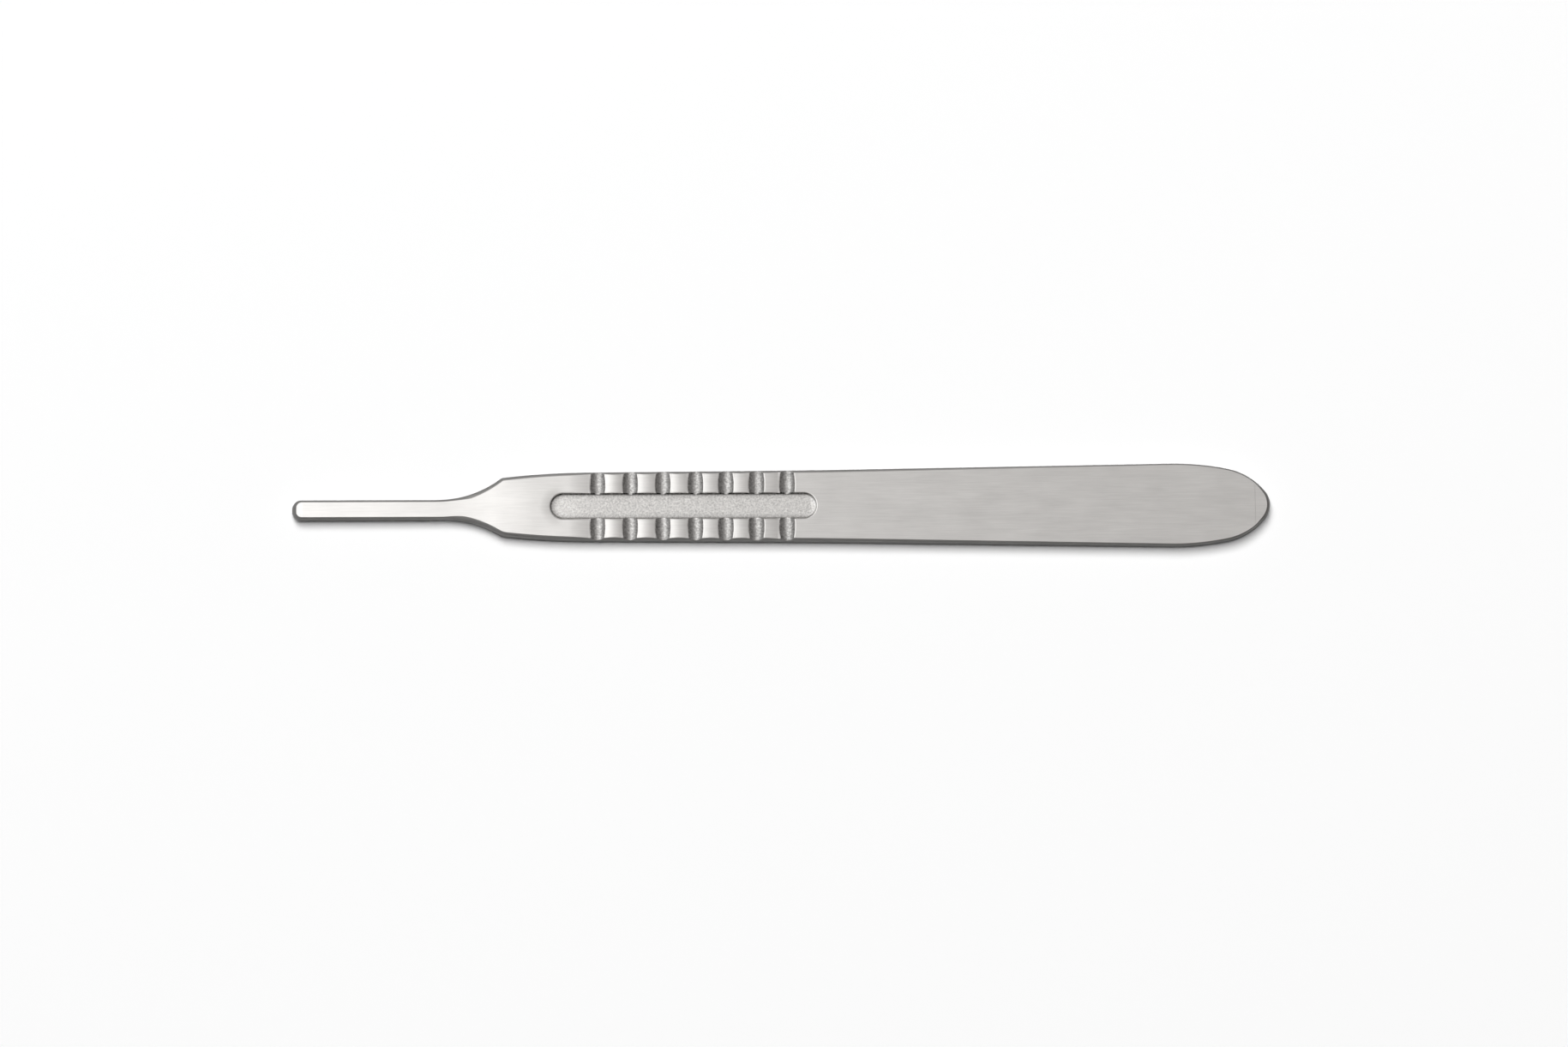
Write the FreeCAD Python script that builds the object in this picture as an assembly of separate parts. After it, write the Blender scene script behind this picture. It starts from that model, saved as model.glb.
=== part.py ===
import FreeCAD, Part
import math
import os
from FreeCAD import Vector

# One-piece steel scalpel handle. The blade tongue points to -X, the tail to +X, and +Z is up.
# It lies on the face that carries the blade bed, with the origin under the middle of its box.
# All lengths are millimetres and all angles are degrees.

# Overall size
handle_length = 125.0
handle_thickness = 2.4

# Body seen from above, symmetric about the X axis: shoulders, grip sides and oval tail
shoulder_from_nose = 26.8
shoulder_width = 7.45
shoulder_corner_back = 0.8
shoulder_corner_front = 3.2
grip_front_from_nose = 37.7
grip_front_width = 8.74
grip_rear_from_nose = 67.0
grip_rear_width = 9.16
grip_blend_length = 5.0
tail_width = 10.56
tail_round_radius = 8.3
tail_round_end_angle = 78.5
tail_tip_radius = 2.57
tail_tip_end_angle = 38.3

# Blade tongue and the hollow-sided neck behind it
tongue_width = 2.5
tongue_offset = 0.35
tongue_nose_radius = 1.1
tongue_top_height = 2.2
nose_fall_length = 1.4
nose_fall = 0.2
neck_radius = 14.0
front_slope_start_from_nose = 19.5
front_slope_end_from_nose = 31.0

# Rounding of the long edges
edge_radius_nose = 0.50
edge_radius_tongue = 0.30
edge_radius_neck = 0.60
edge_radius_shoulder = 0.45
edge_radius_grip = 0.38
edge_radius_tail = 0.20
underside_edge_radius = 0.25

# Blade fitting on the underside of the tongue
rail_length = 17.5
rail_lift = 0.25
bed_height = 1.15
blade_groove_height = 0.45
blade_groove_depth = 0.42
bed_shoulder_from_nose = 27.0
bed_shoulder_angle = 65.0

# Long thumb slot in each face
slot_front_from_nose = 33.0
slot_length = 34.1
slot_width = 3.44
slot_depth = 0.45
slot_wall_angle = 28.0

# Grip grooves beside the slot: the front ones stand a little further apart than the rear ones
groove_count = 7
wide_pitch_count = 3
first_groove_from_nose = 39.07
groove_pitch_front = 4.17
groove_pitch_rear = 3.89
groove_width = 2.07
groove_depth = 0.46
groove_barrel_radius = 10.5
groove_deepest_from_axis = 2.7
groove_run_over_slot = 0.25

# Crowned pads between the grooves, and the fall in front of the first groove
pad_crown_radius = 9.7
pad_crown_drop = 0.01
last_pad_fall_radius = 19.0
front_fall_length = 2.8
front_fall_radius = 42.0

# Places worked out from the sizes above
nose_x = -handle_length / 2
tail_x = handle_length / 2
shoulder_x = nose_x + shoulder_from_nose
slope_start_x = nose_x + front_slope_start_from_nose
slope_end_x = nose_x + front_slope_end_from_nose
slot_front_x = nose_x + slot_front_from_nose
top_z = handle_thickness
over = 1.0


def tangent_arc(start, direction, end):
    """The arc that leaves start in a direction and reaches end, with its direction there."""
    chord = end - start
    along = chord * (1 / chord.Length)
    forward = direction.dot(along)
    sideways = direction - along * forward
    bulge = chord.Length / 2 * math.tan(math.asin(sideways.Length) / 2)
    middle = (start + end) * 0.5 + sideways * (bulge / sideways.Length)
    return Part.Arc(start, middle, end), along * (2 * forward) - direction


def tail_half(side, grip_rear):
    """The three arcs of half the tail, run on until the last points at the rear of the grip."""
    tip_end = math.radians(tail_tip_end_angle)
    round_end = math.radians(tail_round_end_angle)
    rise = (tail_round_radius - tail_tip_radius) * math.sin(tip_end)
    side_radius = tail_width / 2 + rise - tail_round_radius * math.sin(round_end)
    side_radius /= 1 - math.sin(round_end)
    spans = [
        (tail_tip_radius, 0, tip_end),
        (tail_round_radius, tip_end, round_end),
        (side_radius, round_end, None),
    ]
    centre = Vector(tail_x - tail_tip_radius, 0, 0)
    arcs = []
    radius_before = tail_tip_radius
    for radius, first, last in spans:
        back = radius - radius_before
        centre = centre - Vector(back * math.cos(first), side * back * math.sin(first), 0)
        if last is None:
            away = grip_rear - centre
            last = math.atan2(side * away.y, away.x) - math.acos(radius / away.Length)
        points = []
        for angle in (first, (first + last) / 2, last):
            step = Vector(radius * math.cos(angle), side * radius * math.sin(angle), 0)
            points.append(centre + step)
        arcs.append(Part.Arc(*points))
        radius_before = radius
    return arcs


def outline_half(side):
    """One side of the plan outline at z = 0, from the tail's tip to the tongue's nose."""
    shoulder = Vector(shoulder_x, side * shoulder_width / 2, 0)
    grip_front = Vector(nose_x + grip_front_from_nose, side * grip_front_width / 2, 0)
    grip_rear = Vector(nose_x + grip_rear_from_nose, side * grip_rear_width / 2, 0)
    tail_arcs = tail_half(side, grip_rear)
    tail_side = tail_arcs[-1].EndPoint
    into_grip = (grip_rear - tail_side).normalize()
    along_grip = (grip_front - grip_rear).normalize()
    blend_start = grip_rear - into_grip * grip_blend_length
    blend_end = grip_rear + along_grip * grip_blend_length
    blend, heading = tangent_arc(blend_start, into_grip, blend_end)
    front_arc, heading = tangent_arc(grip_front, along_grip, shoulder)
    tongue_y = side * tongue_width / 2 - tongue_offset
    rise = abs(shoulder.y - tongue_y)
    neck_start = Vector(shoulder_x - math.sqrt(2 * neck_radius * rise - rise**2), tongue_y, 0)
    neck_arc, heading = tangent_arc(neck_start, Vector(1, 0, 0), shoulder)
    edges = [arc.toShape() for arc in tail_arcs + [blend, front_arc, neck_arc]]
    edges.append(Part.makeLine(tail_side, blend_start))
    edges.append(Part.makeLine(blend_end, grip_front))
    edges.append(Part.makeLine(neck_start, Vector(nose_x, tongue_y, 0)))
    return edges


def plan_prism():
    """The outline through the full thickness, with its four upright corners rounded."""
    nose_back = Vector(nose_x, tongue_width / 2 - tongue_offset, 0)
    nose_front = Vector(nose_x, -tongue_width / 2 - tongue_offset, 0)
    edges = outline_half(1) + outline_half(-1)
    edges.append(Part.makeLine(nose_back, nose_front))
    wire = Part.Wire(Part.__sortEdges__(edges))
    prism = Part.Face(wire).extrude(Vector(0, 0, handle_thickness))
    shoulder_y = shoulder_width / 2
    corners = [
        (nose_x, nose_back.y, tongue_nose_radius),
        (nose_x, nose_front.y, tongue_nose_radius),
        (shoulder_x, shoulder_y, shoulder_corner_back),
        (shoulder_x, -shoulder_y, shoulder_corner_front),
    ]
    for x, y, radius in corners:
        edge = upright_edge(prism, x, y)
        prism = prism.makeFillet(radius, [edge])
    return prism


def upright_edge(solid, x, y):
    """The vertical edge of a solid that stands at a point of the plan."""
    for edge in solid.Edges:
        first = edge.Vertexes[0].Point
        last = edge.Vertexes[-1].Point
        near = math.hypot(first.x - x, first.y - y) + math.hypot(last.x - x, last.y - y)
        if near < 1e-4 and abs(first.z - last.z) > handle_thickness / 2:
            return edge
    raise ValueError("no upright edge at %s, %s" % (x, y))


def slope_arcs():
    """The two tangent arcs, in the X-Z plane, by which the top falls from the grip to the tongue."""
    low = Vector(slope_start_x, 0, tongue_top_height)
    high = Vector(slope_end_x, 0, top_z)
    middle = (low + high) * 0.5
    hollow, heading = tangent_arc(low, Vector(1, 0, 0), middle)
    crest, heading = tangent_arc(middle, heading, high)
    return [hollow, crest]


def nose_arc():
    """The arc by which the tongue's top rolls down at the nose, run on past the nose itself."""
    start = Vector(nose_x + nose_fall_length, 0, tongue_top_height)
    end = start - Vector(nose_fall_length, 0, nose_fall) * 2
    return tangent_arc(start, Vector(-1, 0, 0), end)[0]


def side_prism():
    """The side view of the handle through its full width: flat, with the top falling in front."""
    width = tail_width + 2 * over
    rear = tail_x + over
    nose = nose_arc()
    corners = [
        Vector(slope_end_x, 0, top_z),
        Vector(rear, 0, top_z),
        Vector(rear, 0, 0),
        Vector(nose.EndPoint.x, 0, 0),
        nose.EndPoint,
    ]
    edges = [arc.toShape() for arc in slope_arcs()]
    edges += [Part.makeLine(a, b) for a, b in zip(corners, corners[1:])]
    edges.append(nose.toShape())
    edges.append(Part.makeLine(nose.StartPoint, Vector(slope_start_x, 0, tongue_top_height)))
    face = Part.Face(Part.Wire(Part.__sortEdges__(edges)))
    face.translate(Vector(0, -width / 2, 0))
    return face.extrude(Vector(0, width, 0))


def top_edge_radius(x):
    """Edge rounding along the handle: soft at the nose, neck and grip, tight at the tail."""
    stations = [
        (nose_x, edge_radius_nose),
        (nose_x + tongue_nose_radius, edge_radius_tongue),
        (shoulder_x - neck_radius / 2, edge_radius_tongue),
        (shoulder_x - neck_radius / 3, edge_radius_neck),
        (shoulder_x, edge_radius_shoulder),
        (nose_x + grip_front_from_nose, edge_radius_grip),
        (nose_x + grip_rear_from_nose, edge_radius_grip),
        (tail_x - tail_width, edge_radius_tail),
        (tail_x, edge_radius_tail),
    ]
    for (x0, r0), (x1, r1) in zip(stations, stations[1:]):
        if x <= x1:
            return r0 + (r1 - r0) * max(0.0, x - x0) / (x1 - x0)
    return edge_radius_tail


def rounded_rims(solid):
    """The solid with the rims of its top and underside rounded all round."""
    doc = FreeCAD.newDocument("rims")
    base = doc.addObject("Part::Feature", "base")
    base.Shape = solid
    rims = doc.addObject("Part::Fillet", "rims")
    rims.Base = base
    chosen = []
    for number, edge in enumerate(solid.Edges, 1):
        first = edge.valueAt(edge.FirstParameter)
        last = edge.valueAt(edge.LastParameter)
        box = edge.BoundBox
        upright = box.ZLength > tongue_top_height / 2
        across = box.XLength < 1e-4 and box.XMax > nose_x + 1e-3
        if upright or across:
            continue
        if box.ZMax < 1e-4:
            chosen.append((number, underside_edge_radius, underside_edge_radius))
        else:
            chosen.append((number, top_edge_radius(first.x), top_edge_radius(last.x)))
    rims.Edges = chosen
    doc.recompute()
    result = rims.Shape.Solids[0].copy()
    FreeCAD.closeDocument(doc.Name)
    return result


def slot_profile():
    """Half section of the thumb slot in the X-Z plane: a flat floor and a leaning wall."""
    lean = math.tan(math.radians(slot_wall_angle))
    half = slot_width / 2
    return [
        Vector(0, 0, top_z - slot_depth),
        Vector(half - slot_depth * lean, 0, top_z - slot_depth),
        Vector(half + over * lean, 0, top_z + over),
        Vector(0, 0, top_z + over),
    ]


def slot_cutter():
    """The thumb slot as a cutter: its section drawn along the middle and turned round each end."""
    corners = slot_profile()
    face = Part.Face(Part.makePolygon(corners + corners[:1]))
    end_radius = slot_width / 2
    front = slot_front_x + end_radius
    rear = slot_front_x + slot_length - end_radius
    up = Vector(0, 0, 1)
    origin = Vector(0, 0, 0)
    half = face.copy()
    half.rotate(origin, up, 90)
    left = half.extrude(Vector(rear - front, 0, 0))
    right = left.mirror(origin, Vector(0, 1, 0))
    rear_end = half.revolve(origin, up, -180)
    front_end = half.revolve(origin, up, 180)
    for shape in (left, right, front_end):
        shape.translate(Vector(front, 0, 0))
    rear_end.translate(Vector(rear, 0, 0))
    return left.fuse([right, rear_end, front_end]).removeSplitter()


def groove_places():
    """Distance of each groove's middle from the nose."""
    place = first_groove_from_nose
    places = []
    for number in range(groove_count):
        places.append(nose_x + place)
        place += groove_pitch_front if number < wide_pitch_count else groove_pitch_rear
    return places


def groove_cutter(x, side):
    """One grip groove: a barrel laid across the land beside the slot, deepest at mid-land.

    It is given back as rational splines, which hold the same circles and arc exactly.
    """
    barrel = (groove_width**2 / 4 + groove_depth**2) / (2 * groove_depth)
    axis_z = top_z - groove_depth + barrel
    slot_floor_edge = slot_width / 2 - slot_depth * math.tan(math.radians(slot_wall_angle))
    inner = groove_deepest_from_axis - slot_floor_edge + groove_run_over_slot
    outer = tail_width / 2 + over - groove_deepest_from_axis

    def at(along):
        shrink = groove_barrel_radius - math.sqrt(groove_barrel_radius**2 - along**2)
        return Vector(0, side * (groove_deepest_from_axis + along), axis_z - barrel + shrink)

    start = at(-inner)
    end = at(outer)
    axis_start = Vector(0, start.y, axis_z)
    axis_end = Vector(0, end.y, axis_z)
    wire = Part.Wire([
        Part.makeLine(axis_start, start),
        Part.Arc(start, at(0), end).toShape(),
        Part.makeLine(end, axis_end),
        Part.makeLine(axis_end, axis_start),
    ])
    cutter = Part.Face(wire).revolve(Vector(0, 0, axis_z), Vector(0, 1, 0), 360)
    cutter.translate(Vector(x, 0, 0))
    return cutter.toNurbs()


def pad_cutter():
    """What is taken off above the crowned pads, drawn in the X-Z plane and run across the grip."""
    places = groove_places()
    half = groove_width / 2
    crown_z = top_z - pad_crown_drop
    start_x = places[0] - half - front_fall_length
    fall_apex = Vector(start_x, 0, top_z + pad_crown_drop / 2)

    def on_fall(x):
        drop = front_fall_radius - math.sqrt(front_fall_radius**2 - (x - start_x)**2)
        return Vector(x, 0, fall_apex.z - drop)

    fall_end = on_fall(places[0] - half)
    edges = [Part.Arc(fall_apex, on_fall(places[0] - half - front_fall_length / 2), fall_end).toShape()]
    previous = fall_end
    for left, right in zip(places[:-1], places[1:-1]):
        reach = (right - left) / 2 - half
        sag = pad_crown_radius - math.sqrt(pad_crown_radius**2 - reach**2)
        middle = Vector((left + right) / 2, 0, crown_z)
        first = middle - Vector(reach, 0, sag)
        last = middle + Vector(reach, 0, -sag)
        edges.append(Part.makeLine(previous, first))
        edges.append(Part.Arc(first, middle, last).toShape())
        previous = last

    last_start = Vector(places[-2] + half, 0, crown_z)
    edges.append(Part.makeLine(previous, last_start))
    reach = places[-1] - places[-2] - groove_width

    def on_last_pad(along):
        drop = last_pad_fall_radius - math.sqrt(last_pad_fall_radius**2 - along**2)
        return last_start + Vector(along, 0, -drop)

    last_end = on_last_pad(reach)
    edges.append(Part.Arc(last_start, on_last_pad(reach / 2), last_end).toShape())
    corners = [
        last_end,
        Vector(places[-1], 0, top_z + pad_crown_drop),
        Vector(places[-1], 0, top_z + over),
        Vector(start_x, 0, top_z + over),
        fall_apex,
    ]
    edges += [Part.makeLine(a, b) for a, b in zip(corners, corners[1:])]
    width = tail_width + 2 * over
    face = Part.Face(Part.Wire(edges))
    face.translate(Vector(0, -width / 2, 0))
    return face.extrude(Vector(0, width, 0))


def bed_cutter():
    """The blade bed: from the end of the rail back to a slanting shoulder across the neck."""
    reach = tail_width / 2 + over
    slant = reach / math.tan(math.radians(bed_shoulder_angle))
    rail_end = nose_x + rail_length
    shoulder = nose_x + bed_shoulder_from_nose
    corners = [
        Vector(rail_end, -reach, -over),
        Vector(shoulder - slant, -reach, -over),
        Vector(shoulder + slant, reach, -over),
        Vector(rail_end, reach, -over),
    ]
    face = Part.Face(Part.makePolygon(corners + corners[:1]))
    return face.extrude(Vector(0, 0, bed_height + over))


def blade_groove_cutter(side):
    """The groove along one flank of the tongue that takes the edge of the blade's own slot."""
    reach = rail_length + over
    inner = side * (tongue_width / 2 - blade_groove_depth)
    outer = side * (tongue_width / 2 + over)
    low = min(inner, outer) - tongue_offset
    corner = Vector(nose_x - over, low, bed_height - blade_groove_height)
    return Part.makeBox(reach, abs(outer - inner), blade_groove_height, corner)


def rail_lift_cutter():
    """The clearance under the rail, which holds the tongue off whatever the handle lies on."""
    corner = Vector(nose_x - over, -tail_width / 2 - over, -over)
    return Part.makeBox(rail_length + over, tail_width + 2 * over, rail_lift + over, corner)


def cut_both_faces(body, cutters):
    """The body cut from above and, mirrored about its mid-thickness, from below."""
    middle = Vector(0, 0, handle_thickness / 2)
    mirrored = [cutter.mirror(middle, Vector(0, 0, 1)) for cutter in cutters]
    return body.cut(cutters + mirrored)


def build_handle():
    """The whole handle as one solid."""
    body = plan_prism().common(side_prism())
    body = rounded_rims(body.Solids[0])
    body = cut_both_faces(body, [pad_cutter()])
    body = cut_both_faces(body, [slot_cutter()])
    grooves = [groove_cutter(x, side) for x in groove_places() for side in (1, -1)]
    body = cut_both_faces(body, grooves)
    fitting = [rail_lift_cutter(), bed_cutter(), blade_groove_cutter(1), blade_groove_cutter(-1)]
    return body.cut(fitting).Solids[0]


os.makedirs("parts", exist_ok=True)
handle = build_handle()
handle.exportStep("parts/handle.step")
print("handle: valid", handle.isValid(), "volume", round(handle.Volume, 1), "mm3")
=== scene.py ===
import math

import bmesh
import bpy
from mathutils import Matrix, Vector


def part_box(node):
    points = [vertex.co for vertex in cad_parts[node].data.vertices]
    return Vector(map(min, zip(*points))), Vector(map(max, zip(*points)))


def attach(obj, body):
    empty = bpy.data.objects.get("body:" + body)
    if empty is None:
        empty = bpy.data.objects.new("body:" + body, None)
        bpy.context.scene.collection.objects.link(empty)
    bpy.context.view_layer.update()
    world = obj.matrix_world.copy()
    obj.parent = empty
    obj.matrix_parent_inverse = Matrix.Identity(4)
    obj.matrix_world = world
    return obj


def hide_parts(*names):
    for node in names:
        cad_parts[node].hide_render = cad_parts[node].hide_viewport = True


# A one-piece scalpel handle in satin steel, lying on a white studio table.
# The model is drawn in millimetres and brought to metres at the end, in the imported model's frame:
# +X to the tail, +Z up, and the origin under the middle of the handle.

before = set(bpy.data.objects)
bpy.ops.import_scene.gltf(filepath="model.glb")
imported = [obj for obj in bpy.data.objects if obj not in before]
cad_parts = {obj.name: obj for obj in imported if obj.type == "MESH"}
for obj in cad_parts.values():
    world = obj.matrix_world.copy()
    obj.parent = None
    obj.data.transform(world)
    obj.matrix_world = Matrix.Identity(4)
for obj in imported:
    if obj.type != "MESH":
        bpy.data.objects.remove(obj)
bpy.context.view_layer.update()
MM = 0.001

# The camera in degrees and metres, nearly overhead and a little turned about its own axis,
# and its sensor in millimetres
VIEW_ELEVATION = 81.3
VIEW_ROLL = -0.175
VIEW_DISTANCE = 1.0
VIEW_WIDTH = 0.2005
VIEW_TARGET = (0.00038, -0.00216, 0.0012)
SENSOR_WIDTH = 36.0

# Plan of the handle in millimetres, with the radius of the shoulder's corner on the +Y side
# and on the softer -Y side
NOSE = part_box("handle")[0].x / MM
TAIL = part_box("handle")[1].x / MM
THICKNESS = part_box("handle")[1].z / MM
SHOULDER = NOSE + 26.8
SHOULDER_HALF = 3.725
SHOULDER_CORNER = {1: 0.8, -1: 3.2}
GRIP_FRONT = (NOSE + 37.7, 4.37)
GRIP_REAR = (NOSE + 67.0, 4.58)
GRIP_BLEND = 5.0
TAIL_HALF = 5.28
TAIL_TIP_RADIUS = 2.57
TAIL_TIP_ANGLE = math.radians(38.3)
TAIL_ROUND_RADIUS = 8.3
TAIL_ROUND_ANGLE = math.radians(78.5)
TONGUE_HALF = 1.25
TONGUE_OFFSET = 0.35
TONGUE_CORNER = 1.1
NECK_RADIUS = 14.0

# Fall of the upper face to the tongue, and again at the nose
TONGUE_TOP = 2.2
SLOPE_START = NOSE + 19.5
SLOPE_END = NOSE + 31.0
NOSE_FALL = 0.32
NOSE_FALL_LENGTH = 1.4

# Rounding of the upper rim along the handle, as place and radius, and of the lower rim
RIM_STATIONS = [
    (NOSE, 0.5),
    (NOSE + 1.1, 0.3),
    (SHOULDER - 7.0, 0.3),
    (SHOULDER - 14.0 / 3, 0.6),
    (SHOULDER, 0.45),
    (GRIP_FRONT[0], 0.38),
    (GRIP_REAR[0], 0.38),
    (TAIL - 10.56, 0.2),
    (TAIL - 1.5, 0.2),
    (TAIL, 0.4),
]
RIM_LARGEST = 0.6
RIM_PROFILE = 0.3
LOWER_RIM = 0.25

# Thumb slot in both faces, with walls that lean less at its ends and a rounded foot
SLOT_FRONT = NOSE + 33.0
SLOT_LENGTH = 34.1
SLOT_HALF = 1.72
SLOT_DEPTH = 0.45
SLOT_LEAN = math.tan(math.radians(28.0))
SLOT_END_LEAN = math.tan(math.radians(9.0))
SLOT_FOOT = 0.10

# Cross grooves on each side of the slot, the first four wider apart than the others
GROOVE_COUNT = 7
FIRST_GROOVE = NOSE + 39.07
WIDE_PITCHES = 3
WIDE_PITCH = 4.17
NARROW_PITCH = 3.89
GROOVES = [
    FIRST_GROOVE + WIDE_PITCH * min(n, WIDE_PITCHES) + NARROW_PITCH * max(n - WIDE_PITCHES, 0)
    for n in range(GROOVE_COUNT)
]
GROOVE_HALF = 1.035
GROOVE_DEPTH = 0.46
GROOVE_BARREL = (GROOVE_HALF**2 + GROOVE_DEPTH**2) / (2 * GROOVE_DEPTH)
GROOVE_LONG_RADIUS = 10.5
GROOVE_DEEPEST = 2.7
GROOVE_RUN_OVER_SLOT = 0.25

# Crowned pads between the grooves, and the fall of the face before the first groove
PAD_CROWN_RADIUS = 9.7
PAD_DROP = 0.01
LAST_PAD_RADIUS = 19.0
FRONT_FALL_LENGTH = 2.8
FRONT_FALL_RADIUS = 42.0

# Blade fitting under the tongue
RAIL_LENGTH = 17.5
RAIL_LIFT = 0.25
BED_HEIGHT = 1.15
BLADE_GROOVE_HEIGHT = 0.45
BLADE_GROOVE_DEPTH = 0.42
BED_SHOULDER = NOSE + 27.0
BED_ANGLE = math.radians(65.0)

# How far the cutters reach past the handle, and how finely the shapes are drawn
OVER = 1.0
PLAN_STEP = 1.5
ARC_STEP = 0.5
ARC_TURN = math.radians(4)
ROUND_SIDES = 96
RIM_SEGMENTS = 8
FOOT_SEGMENTS = 6
NOSE_CUTS = 10
SLOPE_CUTS = 40
SHARP_ANGLE = math.radians(28)
X_AXIS = Vector((1, 0, 0))
Y_AXIS = Vector((0, 1, 0))
Z_AXIS = Vector((0, 0, 1))

# Finish of the steel: how rough it is, and how bright each part of the grip is beside the faces,
# with painted light and shade on the thumb slot's walls and foot
STEEL_COLOUR = (0.62, 0.61, 0.595)
STEEL_ROUGHNESS = 0.30
BRUSH_ROUGHNESS = 0.06
GROOVE_ROUGHNESS = 0.40
SLOT_ROUGHNESS = 0.55
SLOT_END_ROUGHNESS = 0.8
GROOVE_TONE = 0.82
SLOT_TONE = 1.30
# The slot's floor grows brighter towards its front. The foot, wall, near and end values are painted
# light: a painted highlight on the rear end's foot and painted shade on the front end's foot,
# painted shade on the walls with the near wall lighter, and a painted highlight on the rear end wall
SLOT_FRONT_TONE = 0.16
SLOT_FOOT_PAINTED_LIGHT = 0.35
SLOT_WALL_PAINTED_SHADE = 0.30
SLOT_NEAR_WALL_PAINTED_LIGHT = 0.9
SLOT_END_PAINTED_HIGHLIGHT = 1.5

# Blasted grain, brushing and clouding: marks per millimetre on each axis, and their strength
GRAIN_PER_MM = (4.0, 4.0, 4.0)
BRUSH_PER_MM = (0.25, 6.0, 6.0)
CLOUD_PER_MM = (0.22, 0.5, 0.5)
GRAIN_TONE = 1.6
BRUSH_TONE = 0.28
CLOUD_TONE = 0.18

# Where one finish passes into the next, in millimetres
GROOVE_MARGIN = 0.04
GROOVE_EDGE = 0.03
SLOT_MARGIN = 0.01
SLOT_EDGE = 0.04
WALL_FROM = 0.1
FLOOR_FROM = 0.36
FLOOR_EDGE = 0.06
NEAR_FROM = 0.5
NEAR_EDGE = 1.0
FRONT_REACH = 5.0
FRONT_EDGE = 4.0

# Relief by bump: the grain's height in metres, then heights as shares of it and widths in
# millimetres, for the brushing, the sunk face by the slot's front, the floor's ramp and the lips
GRAIN_HEIGHT = 0.00003
BRUSH_HEIGHT = 0.15
SINK_WIDTH = 1.3
SINK_DEPTH = 1.4
RAMP_WIDTH = 0.7
RAMP_HEIGHT = 4.0
LIP_WIDTH = 0.13
LIP_DEPTH = 0.55

# Table in metres, and how white it is to the camera and in reflections
TABLE_SIZE = 1.6
TABLE_GAP = 0.00002
TABLE_SEEN = 0.95
TABLE_REFLECTED = 0.30
TABLE_GLOW = 0.05

# Lamps in metres: a box above and beyond the nose for the steel, and the table's own lamp
LEFT_BOX_TARGET = (-0.205, 0.08, 0.0)
LEFT_BOX_PLACE = (-0.205, 0.08, 0.35)
LEFT_BOX_SIZE = (0.30, 0.30)
LEFT_BOX_RADIANCE = 1.28
TABLE_LAMP_TARGET = (0.0, 0.0, 0.0)
TABLE_LAMP_PLACE = (-0.15, 0.50, 2.0)
TABLE_LAMP_SIZE = (0.9, 1.5)
TABLE_LAMP_RADIANCE = 11.3

# Brightness of the studio's walls low down and higher up, its ceiling and its back, then the
# share that is left at the front and past the tail, and how warm the light is past the tail
STUDIO_LOW = 0.10
STUDIO_MIDDLE = 0.40
STUDIO_HIGH = 0.90
STUDIO_BACK = 0.50
STUDIO_FRONT_END = 0.65
STUDIO_TAIL_END = 0.5
STUDIO_WARMTH = 0.015

# Where each part of the studio fades in, on a sky that runs from -1 to 1 along each axis
WALL_RISE = (0.05, 0.35)
CEILING_RISE = (0.78, 0.97)
FRONT_END = (-1.0, -0.5)
BACK_END = (0.4, 0.9)
BACK_FALL = (0.0, 0.55)
TAIL_END = (0.0, 0.35)
WARM_TURN = (-0.3, 0.3)


def verts_in(items):
    """The vertices among the results of a bmesh operator."""
    return [item for item in items if isinstance(item, bmesh.types.BMVert)]


def everything(bm):
    """All that a bmesh holds."""
    return bm.verts[:] + bm.edges[:] + bm.faces[:]


class Chain:
    """A line drawn from point to point in a bmesh: straight runs and arcs."""

    def __init__(self, bm, start):
        self.bm = bm
        self.tip = bm.verts.new(start)

    def line(self, end, step=math.inf):
        """A straight run to an end point, in pieces no longer than a step."""
        start = self.tip.co.copy()
        end = Vector(end)
        count = max(1, math.ceil((end - start).length / step))
        for number in range(1, count + 1):
            made = bmesh.ops.extrude_vert_indiv(self.bm, verts=[self.tip])
            self.tip = made["verts"][0]
            self.tip.co = start.lerp(end, number / count)

    def arc(self, centre, end, axis=Z_AXIS, step=ARC_STEP):
        """An arc about a centre to an end point, the shorter way round."""
        centre = Vector(centre)
        first = self.tip.co - centre
        last = Vector(end) - centre
        angle = math.atan2(axis.dot(first.cross(last)), first.dot(last))
        if abs(angle) < 1e-7:
            return
        count = math.ceil(max(abs(angle) * first.length / step, abs(angle) / ARC_TURN))
        made = bmesh.ops.spin(
            self.bm, geom=[self.tip], cent=centre, axis=axis, angle=angle, steps=count
        )
        self.tip = verts_in(made["geom_last"])[0]


def tangent_centre(start, direction, end):
    """Centre of the arc that leaves start along a direction and reaches end."""
    chord = end - start
    normal = Vector((-direction.y, direction.x, 0)).normalized()
    return start + normal * (chord.length_squared / (2 * chord.dot(normal)))


def meeting(centre_a, radius_a, centre_b, radius_b, near):
    """The point near a given one where two circles cross."""
    across = centre_b - centre_a
    along = (across.length_squared + radius_a**2 - radius_b**2) / (2 * across.length)
    rise = math.sqrt(radius_a**2 - along**2)
    unit = across.normalized()
    normal = Vector((-unit.y, unit.x, 0))
    points = [centre_a + unit * along + normal * rise * sign for sign in (1, -1)]
    return min(points, key=lambda point: (point - near).length)


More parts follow.
